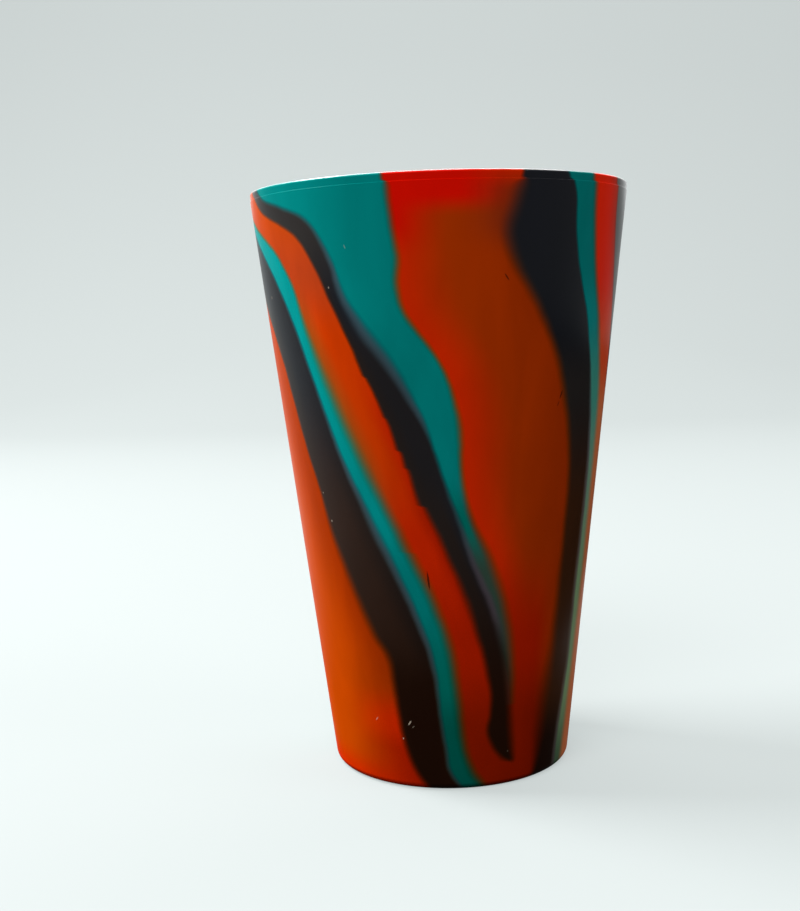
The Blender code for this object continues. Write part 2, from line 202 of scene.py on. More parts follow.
# Each streak: node, silicone, flow line on its left as (height, angle), how far the
# colours blend either side of that line as (height, mm), and its pigments as
# (height, left edge, middle, right edge), or (height, pigment) where the three are one.
STREAKS = (
    (
        "orange_panel_left",
        "orange_silicone",
        ((0, -88), (20, -88), (40, -90), (60, -95), (80, -106), (100, -120), (120, -140), (140, -155)),
        ((0, 2.0), (40, 2.0), (80, 1.0), (140, 0.6)),
        (
            (0, "red_orange", "red_orange", "deep_red"),
            (9, "amber", "amber", "deep_red"),
            (16, "amber", "amber", "red_orange"),
            (26, "amber", "amber", "burnt_orange"),
            (60, "amber", "amber", "burnt_orange"),
            (140, "amber"),
        ),
    ),
    (
        "black_band_left",
        "black_silicone",
        ((0, -10.5), (5, -17), (12, -21.3), (20, -23), (28, -24), (33, -26), (37, -30.5), (45, -36.5),
         (60, -46.3), (70, -50.5), (80, -55.5), (92, -61), (100, -65), (110, -74), (122, -93),
         (132, -110), (140, -122)),
        ((0, 1.2), (20, 1.3), (40, 1.8), (55, 1.8), (70, 0.8), (140, 0.7)),
        (
            (0, "umber_black"),
            (25, "umber_black"),
            (40, "peat", "peat", "warm_black"),
            (62, "peat", "peat", "warm_black"),
            (100, "warm_black", "black", "black"),
            (140, "warm_black", "black", "black"),
        ),
    ),
    (
        "teal_band_left",
        "teal_silicone",
        ((0, 5), (5, -1), (10, -2.5), (20, -5), (28, -6), (35, -8.5), (45, -14.5), (60, -24.5),
         (70, -31.5), (80, -38), (95, -45.5), (108, -52.5), (116, -58.5), (122, -65), (128, -75),
         (134, -89), (140, -106)),
        ((0, 1.0), (20, 1.0), (45, 1.5), (60, 1.9), (80, 1.1), (95, 0.9), (140, 0.8)),
        (
            (0, "bottle_green"),
            (14, "bottle_green"),
            (26, "deep_teal"),
            (48, "teal"),
            (66, "bright_teal", "bright_teal", "teal"),
            (140, "bright_teal"),
        ),
    ),
    (
        "orange_band_centre",
        "orange_silicone",
        ((0, 16), (5, 10), (12, 6), (22, 4), (32, 2), (42, -2.5), (52, -8.5), (65, -18), (80, -29),
         (95, -38), (108, -45.5), (117, -50), (122, -54.5), (126, -60), (130, -69.5), (135, -84),
         (140, -97)),
        ((0, 1.8), (20, 2.0), (80, 2.5), (95, 2.5), (115, 1.0), (140, 0.8)),
        (
            (0, "dark_red"),
            (14, "dark_red"),
            (35, "deep_red"),
            (60, "red_orange", "red_orange", "deep_red"),
            (82, "umber_orange", "rust", "red_orange"),
            (105, "umber_orange", "rust", "rust"),
            (120, "brick"),
            (140, "amber"),
        ),
    ),
    (
        "black_tongue_centre",
        "black_silicone",
        ((0, 31), (5.7, 27.5), (6.5, 24), (7.7, 21.5), (10, 18.5), (14, 15.5), (18, 16.5), (23, 17),
         (28, 15.5), (35, 12.5), (45, 7.5), (57, 0), (70, -8.5), (85, -17), (100, -26.5),
         (115, -35.5), (122, -40), (128, -46), (131, -53.5), (134, -63.5), (137, -68.5), (140, -72)),
        ((0, 1.0), (20, 1.0), (45, 1.5), (57, 1.2), (90, 0.7), (140, 0.6)),
        (
            (0, "umber_black"),
            (25, "umber_black"),
            (60, "warm_black", "warm_black", "black"),
            (80, "warm_black", "soft_black", "soft_black"),
            (100, "warm_black", "soft_black", "soft_black"),
            (112, "warm_black", "black", "black"),
            (130, "charcoal"),
            (140, "charcoal"),
        ),
    ),
    (
        "teal_panel_front",
        "teal_silicone",
        ((0, 31), (5.7, 28.5), (12, 27), (24, 25), (32, 22.5), (42, 18), (55, 9.5), (68, 2.5),
         (80, -3.5), (86, -6.5), (92, -11), (97, -15), (105, -23), (113, -29.5), (122, -33), (128, -37),
         (132, -42), (134.5, -51), (137, -61.5), (140, -66)),
        ((0, 1.0), (5, 1.0), (10, 1.8), (24, 1.8), (50, 1.4), (75, 0.8), (82, 0.8), (92, 1.6), (105, 2.6),
         (120, 1.3), (140, 0.7)),
        (
            (0, "moss"),
            (52, "moss"),
            (64, "deep_teal", "deep_teal", "moss"),
            (76, "teal"),
            (140, "teal"),
        ),
    ),
    (
        "orange_panel_front",
        "orange_silicone",
        ((0, 31), (20, 26.5), (28, 26), (36, 24.5), (45, 21.5), (55, 16), (65, 9), (75, 5.5), (85, 5),
         (93, 3), (100, -1), (110, -10.5), (116, -12.5), (122, -12), (130, -13), (140, -14)),
        ((0, 1.0), (5, 1.0), (10, 1.8), (24, 1.8), (36, 2.0), (52, 2.0), (70, 1.0), (85, 1.5), (100, 0.9),
         (118, 1.5), (137, 1.5), (138.2, 0.8), (140, 0.8)),
        (
            (0, "dark_red"),
            (15, "dark_red"),
            (35, "deep_red", "deep_red", "burnt_orange"),
            (60, "red_orange", "burnt_orange", "burnt_orange"),
            (90, "red_orange", "burnt_orange", "burnt_orange"),
            (118, "red_orange", "burnt_orange", "burnt_orange"),
            (121, "red_orange", "burnt_orange", "burnt_orange"),
            (130, "red", "burnt_orange", "dark_rust"),
            (135, "red", "red", "dark_rust"),
            (140, "red", "red", "red_orange"),
        ),
    ),
    (
        "black_band_right",
        "black_silicone",
        ((0, 40), (6, 42), (15, 43), (25, 45.5), (35, 47.5), (55, 48.5), (72, 49), (82, 47), (92, 43),
         (102, 37.5), (112, 29.5), (120, 23), (127, 20.5), (134, 23), (140, 25)),
        ((0, 1.0), (12, 3.5), (25, 3.5), (35, 2.2), (60, 1.5), (115, 2.0), (124, 2.8), (137, 2.8),
         (138.2, 0.8), (140, 0.6)),
        (
            (0, "umber_black"),
            (8, "umber_black"),
            (22, "brown_black"),
            (62, "brown_black"),
            (92, "charcoal"),
            (106, "black"),
            (140, "black"),
        ),
    ),
    (
        "teal_band_right",
        "teal_silicone",
        ((0, 56), (10, 57), (20, 59.5), (27, 61), (45, 61.5), (70, 62.5), (82, 61), (95, 57.5),
         (107, 52.5), (118, 46.5), (127, 43), (135, 42), (140, 39.5)),
        ((0, 1.4), (70, 1.6), (100, 0.7), (140, 0.6)),
        (
            (0, "olive"),
            (20, "sage"),
            (45, "sage"),
            (70, "grey_teal"),
            (92, "sea_teal"),
            (108, "bright_teal"),
            (120, "teal"),
            (140, "teal"),
        ),
    ),
    (
        "orange_band_right",
        "orange_silicone",
        ((0, 64), (10, 65.5), (25, 67.5), (45, 69), (72, 68.5), (85, 67.5), (95, 65), (107, 60),
         (120, 54), (130, 51.5), (140, 50.5)),
        ((0, 2.0), (80, 2.0), (110, 1.6), (137, 1.6), (140, 1.0)),
        (
            (0, "coral"),
            (84, "coral"),
            (100, "red_coral"),
            (118, "scarlet", "scarlet", "red_orange"),
            (140, "scarlet", "scarlet", "red_orange"),
        ),
    ),
    (
        "black_band_back_right",
        "black_silicone",
        ((0, 80), (20, 82), (45, 84.5), (70, 84), (90, 80.5), (105, 76), (120, 70), (130, 66.5),
         (140, 65.5)),
        ((0, 1.6), (60, 1.6), (140, 1.2)),
        (
            (0, "brown_black"),
            (60, "warm_black"),
            (140, "warm_black", "black", "black"),
        ),
    ),
    (
        "teal_band_back",
        "teal_silicone",
        ((0, 104), (20, 108), (45, 112), (65, 111), (85, 105), (105, 96), (125, 88), (140, 85)),
        ((0, 0.8), (60, 0.6), (140, 0.4)),
        (
            (0, "deep_teal"),
            (40, "teal", "teal", "olive"),
            (90, "teal"),
            (140, "teal"),
        ),
    ),
    (
        "orange_panel_back",
        "orange_silicone",
        ((0, 120), (20, 127), (42, 133), (62, 132), (82, 123), (105, 110), (125, 102), (140, 99)),
        ((0, 1.6), (40, 2.4), (90, 1.8), (120, 0.8), (140, 0.5)),
        (
            (0, "dark_red"),
            (30, "red_orange", "burnt_orange", "dark_red"),
            (90, "red_orange", "burnt_orange", "burnt_orange"),
            (140, "red", "red_orange", "burnt_orange"),
        ),
    ),
    (
        "black_band_back",
        "black_silicone",
        ((0, 160), (18, 167), (38, 177), (58, 179), (78, 171), (100, 158), (122, 147), (140, 143)),
        ((0, 2.6), (30, 2.0), (60, 1.0), (140, 0.6)),
        (
            (0, "brown_black", "brown_black", "warm_black"),
            (60, "warm_black", "black", "black"),
            (140, "black"),
        ),
    ),
    (
        "teal_panel_back",
        "teal_silicone",
        ((0, 198), (18, 203), (40, 213), (60, 217), (80, 210), (100, 194), (122, 176), (140, 168)),
        ((0, 1.0), (50, 1.2), (90, 0.6), (140, 0.5)),
        (
            (0, "deep_teal", "deep_teal", "olive"),
            (40, "teal", "teal", "olive"),
            (90, "teal", "bright_teal", "teal"),
            (140, "teal", "bright_teal", "bright_teal"),
        ),
    ),
)
SILICONE_NAMES = ("orange_silicone", "black_silicone", "teal_silicone")

# Rows of the mesh round the heel and the inner corner, round the worn edge at the parting
# line, up the straight face of the lip, and across the foot ring and its slope.
CORNER_ROWS = 16
EDGE_ROWS = 6
FACE_ROWS = 5
RING_ROWS = 10
# Share of their width that blends keep at the middle of the floor.
LEAST_BLEND = 0.02


def smooth(share):
    """Cubic ease: 3 t squared less 2 t cubed, held at 0 and 1 outside that range."""
    t = np.clip(share, 0.0, 1.0)
    return t * t * (3 - 2 * t)


def arc(centre, radius, start, end, count):
    """Points and outward normals on a circle from one angle to another, both included."""
    angle = np.linspace(start, end, count)
    normal = np.stack([np.cos(angle), np.sin(angle)], axis=1)
    return np.asarray(centre) + radius * normal, normal


def straight(start, end, count, normal):
    """Points evenly spaced between two points, without the two, and one shared normal."""
    share = np.linspace(0.0, 1.0, count + 2)[1:-1, None]
    points = np.asarray(start) * (1 - share) + np.asarray(end) * share
    return points, np.tile(normal, (count, 1))


def underside(cup, heel_start, count):
    """Recess and foot ring: height falls from the recess to the table as a cosine-like
    ease across the chamfer, and the normal is the gradient of that curve."""
    ring_inside = heel_start - cup.foot_ring_width
    radius = np.concatenate(
        [
            np.linspace(0.0, ring_inside - cup.recess_chamfer, count, endpoint=False),
            np.linspace(ring_inside - cup.recess_chamfer, ring_inside, RING_ROWS, endpoint=False),
            np.linspace(ring_inside, heel_start, RING_ROWS, endpoint=False),
        ]
    )
    share = (radius - ring_inside + cup.recess_chamfer) / cup.recess_chamfer
    height = cup.recess_depth * (1 - smooth(share))
    t = np.clip(share, 0.0, 1.0)
    slope = -cup.recess_depth * 6 * t * (1 - t) / cup.recess_chamfer
    normal = np.stack([slope, -np.ones_like(slope)], axis=1)
    normal /= np.linalg.norm(normal, axis=1, keepdims=True)
    return np.stack([radius, height], axis=1), normal


def one_point(place, normal):
    """A single row of the section."""
    return np.array([place]), np.array([normal])


def cup_section(cup):
    """The section as matching rows of outer and inner points, (radius, height), with
    their normals, from the axis to the crown of the lip, and where each row belongs."""
    lean = math.atan2((cup.rim_diameter - cup.foot_diameter) / 2, cup.height)
    across = 1 / math.cos(lean)
    outward = (math.cos(lean), -math.sin(lean))
    inward = (-math.cos(lean), math.sin(lean))

    def outer_radius(height):
        return cup.foot_diameter / 2 + height * math.tan(lean)

    def inner_radius(height):
        return outer_radius(height) - cup.wall_thickness * across

    heel = (outer_radius(cup.heel_radius) - cup.heel_radius * across, cup.heel_radius)
    corner_height = cup.floor_thickness + cup.inner_corner_radius
    corner = (inner_radius(corner_height) - cup.inner_corner_radius * across, corner_height)
    parting = cup.height - cup.lip_height
    edge = cup.parting_edge_radius
    edge_centre = (outer_radius(parting - edge) - edge * across, parting - edge)
    inner_start = (inner_radius(parting - 3 * edge), parting - 3 * edge)
    inner_parting = (inner_radius(parting), parting)
    lip_foot = (outer_radius(parting) - cup.lip_setback * across, parting)
    rounding = cup.lip_rounding
    round_height = cup.height - cup.lip_crown - rounding
    outer_centre = (outer_radius(round_height) - (cup.lip_setback + rounding) * across, round_height)
    inner_centre = (inner_radius(round_height) + rounding * across, round_height)
    flat_width = cup.wall_thickness - cup.lip_setback - 2 * rounding
    top_angle = math.pi / 2 - 2 * cup.lip_crown / flat_width

    foot = underside(cup, heel[0], cup.floor_rows)
    heel_arc = arc(heel, cup.heel_radius, -math.pi / 2, -lean, CORNER_ROWS)
    worn_edge = arc(edge_centre, edge, -lean, math.pi / 2, EDGE_ROWS)
    outer_lip = arc(outer_centre, rounding, -lean, top_angle, cup.lip_rows)
    corner_points, corner_normal = arc(corner, cup.inner_corner_radius, -math.pi / 2, -lean, CORNER_ROWS)
    inner_lip = arc(inner_centre, rounding, math.pi - lean, math.pi - top_angle, cup.lip_rows)
    crown = one_point(((outer_lip[0][-1, 0] + inner_lip[0][-1, 0]) / 2, cup.height), (0.0, 1.0))
    floor_rows = len(foot[0])
    floor_across = foot[0][:, 0] * corner[0] / heel[0]
    floor_points = np.stack([floor_across, np.full(floor_rows, cup.floor_thickness)], axis=1)

    outside = [
        foot,
        heel_arc,
        straight(heel_arc[0][-1], worn_edge[0][0], cup.wall_rows, outward),
        worn_edge,
        one_point(lip_foot, outward),
        straight(lip_foot, outer_lip[0][0], FACE_ROWS, outward),
        outer_lip,
        crown,
    ]
    inside = [
        (floor_points, np.tile((0.0, 1.0), (floor_rows, 1))),
        (corner_points, -corner_normal),
        straight(corner_points[-1], inner_start, cup.wall_rows, inward),
        straight(inner_start, inner_parting, EDGE_ROWS, inward),
        one_point(inner_parting, inward),
        straight(inner_parting, inner_lip[0][0], FACE_ROWS, inward),
        inner_lip,
        crown,
    ]
    outer, outer_normal = (np.concatenate(rows) for rows in zip(*outside))
    inner, inner_normal = (np.concatenate(rows) for rows in zip(*inside))
    from_axis = foot[0][:, 0] / heel[0]
    share = outer[:, 1] / cup.height
    share[:floor_rows] = 0.0
    turn = cup.lip_drift * smooth((outer[:, 1] - parting) / cup.drift_height)
    turn[:floor_rows] = cup.floor_swirl * (1 - from_axis)
    blend = np.ones(len(outer))
    blend[:floor_rows] = np.maximum(from_axis, LEAST_BLEND)
    return {
        "outer": outer,
        "inner": inner,
        "outer_normal": outer_normal,
        "inner_normal": inner_normal,
        "share": share,
        "turn": turn,
        "blend": blend,
        "floor": np.arange(len(outer)) < floor_rows,
    }


def along_line(points, share):
    """Smooth curve of angle over height: cubic Hermite pieces through the points, whose
    slopes are those between each point's two neighbours, held level past the ends."""
    heights = np.array([p[0] for p in points], dtype=float)
    angles = np.array([p[1] for p in points], dtype=float)
    slopes = np.empty_like(angles)
    slopes[1:-1] = (angles[2:] - angles[:-2]) / (heights[2:] - heights[:-2])
    slopes[0] = (angles[1] - angles[0]) / (heights[1] - heights[0])
    slopes[-1] = (angles[-1] - angles[-2]) / (heights[-1] - heights[-2])
    height = np.clip(share * heights[-1], heights[0], heights[-1])
    lower = np.clip(np.searchsorted(heights, height, side="right") - 1, 0, len(heights) - 2)
    step = heights[lower + 1] - heights[lower]
    t = (height - heights[lower]) / step
    return (
        angles[lower] * (2 * t**3 - 3 * t**2 + 1)
        + angles[lower + 1] * (3 * t**2 - 2 * t**3)
        + slopes[lower] * step * (t**3 - 2 * t**2 + t)
        + slopes[lower + 1] * step * (t**3 - t**2)
    )


def flow_lines(cup, section):
    """Angle of every streak's left line on each row, one column each, with the first
    line again, a turn on, in the last column."""
    joined_below = {
        "teal_panel_front": cup.tongue_tip_height,
        "orange_panel_front": cup.teal_tip_height,
    }
    height = np.where(section["floor"], 0.0, section["outer"][:, 1])
    lines = []
    for name, _, points, _, _ in STREAKS:
        angle = along_line(points, section["share"])
        if name in joined_below:
            before = lines[-1]
            joined = height <= joined_below[name]
            angle = np.where(joined, before, np.maximum(angle, before))
        lines.append(angle)
    lines.append(lines[0] + 360.0)
    return np.stack(lines, axis=1) + section["turn"][:, None]


def blend_widths(section):
    """How far the colours blend either side of each line on each row, in metres."""
    widths = []
    for _, _, _, table, _ in STREAKS:
        heights = [row[0] for row in table]
        values = [row[1] for row in table]
        wide = np.interp(section["share"] * heights[-1], heights, values)
        widths.append(wide * section["blend"] * MM)
    widths.append(widths[0])
    return np.stack(widths, axis=1)


def slants(section, lines):
    """Cosine of each line's slant from the meridian, to turn a distance round the cup
    into the distance square to the line."""
    outer = section["outer"]
    step = np.linalg.norm(np.gradient(outer, axis=0), axis=1)
    turned = np.gradient(np.radians(lines - section["turn"][:, None]), axis=0)
    ratio = outer[:, :1] * turned / np.maximum(step[:, None], 1e-6)
    return 1 / np.sqrt(1 + ratio**2)


def lapped(section, name):
    """How far a streak laps over its left line on each row, in metres: its steady lap, and
    tears, each of which falls straight from its depth at its foot to nothing at its length."""
    height = section["outer"][:, 1] / MM
    steady = LAPS.get(name, ((0, 0),))
    lap = np.interp(height, [row[0] for row in steady], [row[1] for row in steady])
    for foot, depth, length in TEARS.get(name, ()):
        above = (height - foot) / length
        lap += np.where((above >= 0) & (above < 1), depth * (1 - above), 0.0)
    return np.where(section["floor"], 0.0, lap) * MM


def pigment_grid(cup, table, share, across):
    """Linear colour on a grid of heights and places across a streak, straight between
    the table's rows and columns but eased, so that no row shows."""
    heights = np.array([row[0] for row in table], dtype=float)
    names = [row[1:] if len(row) > 2 else row[1:] * 3 for row in table]
    colours = np.array([[getattr(cup, name)[:3] for name in row] for row in names])
    height = share * heights[-1]
    lower = np.clip(np.searchsorted(heights, height, side="right") - 1, 0, len(heights) - 2)
    t = smooth((height - heights[lower]) / (heights[lower + 1] - heights[lower]))[:, None, None]
    by_height = colours[lower] * (1 - t) + colours[lower + 1] * t
    to_middle = smooth(across * 2)[None, :, None]
    to_right = smooth(across * 2 - 1)[None, :, None]
    left, middle, right = (by_height[:, k : k + 1, :] for k in range(3))
    return (left * (1 - to_middle) + middle * to_middle) * (1 - to_right) + right * to_right


def edge_colours(cup, section):
    """Colour of every streak at its left and its right edge, on each row."""
    ends = np.array([0.0, 1.0])
    grids = [pigment_grid(cup, table, section["share"], ends) for *_, table in STREAKS]
    return np.stack(grids, axis=1)


def streak_data(cup, section, lines, widths, cosines, edges, index):
    """Grid of one streak: angles, and for each grid point its own colour, the colours
    beside it, and its distance to both lines with the blend widths there."""
    count = len(STREAKS)
    left, right = lines[:, index], lines[:, index + 1]
    columns = int(max(4, math.ceil(float(np.max(right - left)) / cup.column_angle)))
    across = np.linspace(0.0, 1.0, columns + 1)
    angle = left[:, None] + (right - left)[:, None] * across
    angle[:, -1] = right
    radius = section["outer"][:, :1]
    to_left = np.radians(angle - left[:, None]) * radius * cosines[:, index : index + 1]
    to_right = np.radians(right[:, None] - angle) * radius * cosines[:, index + 1 : index + 2]
    to_left += lapped(section, STREAKS[index][0])[:, None]
    to_right -= lapped(section, STREAKS[(index + 1) % count][0])[:, None]

    # Past a neighbour thinner than the blend, the streak beyond it shows: by twice as much
    # as the far line's blend has reached over to the near line.
    thickness = np.radians(lines[:, 1:] - lines[:, :-1]) * radius

    def beside(step, side):
        colour = edges[:, (index + 3 * step) % count, side]
        for hop in (2, 1):
            streak = (index + hop * step) % count
            far = widths[:, streak + (step > 0)]
            fade = 1 - 2 * smooth((1 - thickness[:, streak] / far) / 2)[:, None]
            colour = edges[:, streak, side] * fade + colour * (1 - fade)
        return colour

    beside_left, beside_right = beside(-1, 1), beside(1, 0)
    own = pigment_grid(cup, STREAKS[index][4], section["share"], across)

    # Teal and black run into a slate haze, but not where the blend is narrow, or wider than
    # the teal.
    teal = index + (STREAKS[index][1] == "black_silicone")
    haze = smooth(thickness[:, teal % count] / widths[:, teal] - 1)
    haze *= smooth((widths[:, teal] / MM - HAZE_FROM) / (HAZE_FULL - HAZE_FROM))

    def wide(values):
        return np.repeat(values[:, None], columns + 1, axis=1)

    return {
        "angle": angle,
        "pigment": own,
        "beside_left": wide(beside_left),
        "beside_right": wide(beside_right),
        "to_left": to_left,
        "to_right": to_right,
        "blend_left": wide(widths[:, index]),
        "blend_right": wide(widths[:, index + 1]),
        "haze": wide(haze),
    }


def swept(points, normals, angle):
    """Section points turned round the cup: x is radius times the sine of the angle, y is
    less radius times its cosine, z the height.  The normals turn with them."""
    turned = np.radians(angle)
    sine, cosine = np.sin(turned), np.cos(turned)

    def spin(pairs):
        flat, up = pairs[:, :1], pairs[:, 1:]
        return np.stack([flat * sine, -flat * cosine, np.broadcast_to(up, sine.shape)], axis=2)

    return spin(points), spin(normals)


def grid_faces(numbers, flip):
    """Quads between neighbouring rows and columns of a grid of vertex numbers."""
    a, b = numbers[:-1, :-1], numbers[:-1, 1:]
    c, d = numbers[1:, 1:], numbers[1:, :-1]
    quads = np.stack([a, d, c, b] if flip else [a, b, c, d], axis=2)
    return quads.reshape(-1, 4)


def clean_faces(quads):
    """Quads with their repeated corners dropped: a list of index lists, triangles at the
    poles and nothing where a face has closed up."""
    rolled = np.roll(quads, -1, axis=1)
    keep = quads != rolled
    return [quads[i][keep[i]].tolist() for i in np.flatnonzero(keep.sum(axis=1) > 2)]


def streak_object(section, name, data):
    """One closed solid.  Rows run over the outside, then back down the inside, so the
    crown of the lip is one row; two flat-wise grids close the bonded sides."""
    angle = data["angle"]
    widths = angle[:, -1] - angle[:, 0]
    shut = np.flatnonzero(widths <= 1e-9)
    first = int(shut[-1]) if len(shut) else 0
    rows = len(angle) - first
    columns = angle.shape[1]
    outer, outer_normal = swept(section["outer"][first:], section["outer_normal"][first:], angle[first:])
    inner, inner_normal = swept(section["inner"][first:], section["inner_normal"][first:], angle[first:])

    # Outside upwards, then inside downwards without the crown, which both share.
    points = np.concatenate([outer, inner[-2::-1]])
    normals = np.concatenate([outer_normal, inner_normal[-2::-1]])
    numbers = np.arange(len(points) * columns).reshape(len(points), columns)
    numbers[0] = numbers[0, 0]
    numbers[-1] = numbers[-1, 0]
    skin = grid_faces(numbers, flip=False)

    # Bonded sides: each outer row joined to the inner row at the same station.
    outer_rows = numbers[:rows]
    inner_rows = np.concatenate([numbers[rows:][::-1], numbers[rows - 1 : rows]])
    left_side = grid_faces(np.stack([inner_rows[:, 0], outer_rows[:, 0]], axis=1), flip=False)
    right_side = grid_faces(np.stack([outer_rows[:, -1], inner_rows[:, -1]], axis=1), flip=False)

    skin_faces = clean_faces(skin)
    side_faces = clean_faces(np.concatenate([left_side, right_side]))
    used = np.unique(np.concatenate([np.array(face) for face in skin_faces + side_faces]))
    renumber = np.full(numbers.size, -1)
    renumber[used] = np.arange(len(used))
    faces = [renumber[np.array(f)].tolist() for f in skin_faces + side_faces]
    vertices = points.reshape(-1, 3)[used]
    mesh = bpy.data.meshes.new(name)
    mesh.from_pydata(vertices.tolist(), [], faces)
    mesh.update()

    # Exact normals on the skin, so that no bond shows in the gloss.
    flat = np.empty(len(mesh.polygons) * 3, dtype=np.float32)
    mesh.polygons.foreach_get("normal", flat)
    face_normals = flat.reshape(-1, 3)
    loop_vertex = np.empty(len(mesh.loops), dtype=np.int32)
    mesh.loops.foreach_get("vertex_index", loop_vertex)
    loop_total = np.empty(len(mesh.polygons), dtype=np.int32)
    mesh.polygons.foreach_get("loop_total", loop_total)
    loop_face = np.repeat(np.arange(len(mesh.polygons)), loop_total)
    skin_normals = normals.reshape(-1, 3)[used]
    loop_normals = skin_normals[loop_vertex].copy()
    on_side = loop_face >= len(skin_faces)
    loop_normals[on_side] = face_normals[loop_face[on_side]]
    mesh.shade_smooth()
    mesh.normals_split_custom_set(loop_normals.tolist())

    add_attributes(mesh, data, first, used)
    return bpy.data.objects.new(name, mesh)


def add_attributes(mesh, data, first, used):
    """Puts the grid's colours and distances on the vertices, inside and out alike.

    Each part of a colour goes on as its root of order MIXING_ROOT, to be mixed straight
    and raised to that power again in the material.
    """

    def both_sides(values):
        values = values[first:]
        flat = np.concatenate([values, values[-2::-1]])
        return flat.reshape(-1, *values.shape[2:])[used]

    for name in ("pigment", "beside_left", "beside_right"):
        root = (both_sides(data[name]) ** (1 / MIXING_ROOT)).astype(np.float32)
        layer = mesh.attributes.new(name, "FLOAT_VECTOR", "POINT")
        layer.data.foreach_set("vector", root.ravel())
    in_millimetres = ("to_left", "to_right", "blend_left", "blend_right")
    for name in in_millimetres + ("haze",):
        values = both_sides(data[name]) / (MM if name in in_millimetres else 1)
        layer = mesh.attributes.new(name, "FLOAT", "POINT")
        layer.data.foreach_set("value", values.astype(np.float32).ravel())


def node(tree, kind, place, links=None, **settings):
    """Adds one node of a kind, such as Math for ShaderNodeMath, and gives it its links.

    A setting named after a property sets it; links maps a socket, by its name or number,
    to a source socket or to a plain value.  MapRange's sockets 0 to 4 are the value, the
    range that it comes from and the range that it goes to.
    """
    made = tree.nodes.new("ShaderNode" + kind)
    made.location = place
    for key, value in settings.items():
        setattr(made, key, value)
    for socket, source in (links or {}).items():
        if isinstance(source, bpy.types.NodeSocket):
            tree.links.new(source, made.inputs[socket])
        else:
            made.inputs[socket].default_value = source
    return made


def across_line(tree, side, sign, waves, place):
    """How far the colour has changed over at a flow line: 0 well before it, a half on
    it, 1 well past it.  The waves move the line by as much on both its sides."""
    x, y = place
    distance = node(tree, "Attribute", (x, y), attribute_name="to_" + side).outputs["Fac"]
    blend = node(tree, "Attribute", (x, y - 150), attribute_name="blend_" + side).outputs["Fac"]
    signed = node(tree, "Math", (x + 160, y), {0: distance, 1: sign}, operation="MULTIPLY").outputs[0]
    moved = node(tree, "Math", (x + 320, y), {0: signed, 1: waves}, operation="ADD").outputs[0]
    share = node(tree, "Math", (x + 480, y), {0: moved, 1: blend}, operation="DIVIDE").outputs[0]
    return node(
        tree,
        "MapRange",
        (x + 640, y),
        {0: share, 1: -1.0, 2: 1.0, 3: 0.0, 4: 1.0},
        interpolation_type="SMOOTHSTEP",
    ).outputs["Result"]


def from_root(tree, vector, place):
    """Colour from the root of each of its parts."""
    x, y = place
    parts = node(tree, "SeparateXYZ", place, {0: vector}).outputs
    raised = {}
    for k, part in enumerate(parts):
        raised[k] = node(
            tree, "Math", (x + 160, y - 60 * k), {0: part, 1: MIXING_ROOT}, operation="POWER"
        ).outputs[0]
    return node(tree, "CombineXYZ", (x + 320, y), raised).outputs[0]


def marks(tree, cup, coordinates, sign, place):
    """How strongly the pale marks, or with sign -1 the dark ones, cover a point: each is
    1 inside an ellipse that lies on the wall, and fades out at its edge."""
    x, y = place
    slope = (cup.rim_diameter - cup.foot_diameter) / 2 / cup.height
    cover = 0.0
    for angle, height, length, width, lean, strength in MARKS:
        if strength * sign < 0:
            continue
        turned = math.radians(angle)
        radius = cup.foot_diameter / 2 + height * MM * slope
        spot = node(
            tree,
            "Mapping",
            (x, y),
            {
                "Vector": coordinates,
                "Location": (radius * math.sin(turned), -radius * math.cos(turned), height * MM),
                "Rotation": (0.0, math.radians(lean), turned),
                "Scale": (width / 2 * MM, 2 * MM, length / 2 * MM),
            },
            vector_type="TEXTURE",
        )
        away = node(
            tree, "VectorMath", (x + 160, y), {0: spot.outputs[0]}, operation="LENGTH"
        ).outputs["Value"]
        here = node(
            tree,
            "MapRange",
            (x + 320, y),
            {0: away, 1: 0.5, 2: 1.0, 3: abs(strength), 4: 0.0},
            interpolation_type="SMOOTHSTEP",
        ).outputs["Result"]
        cover = node(tree, "Math", (x + 480, y), {0: here, 1: cover}, operation="MAXIMUM").outputs[0]
        y -= 60
    return cover


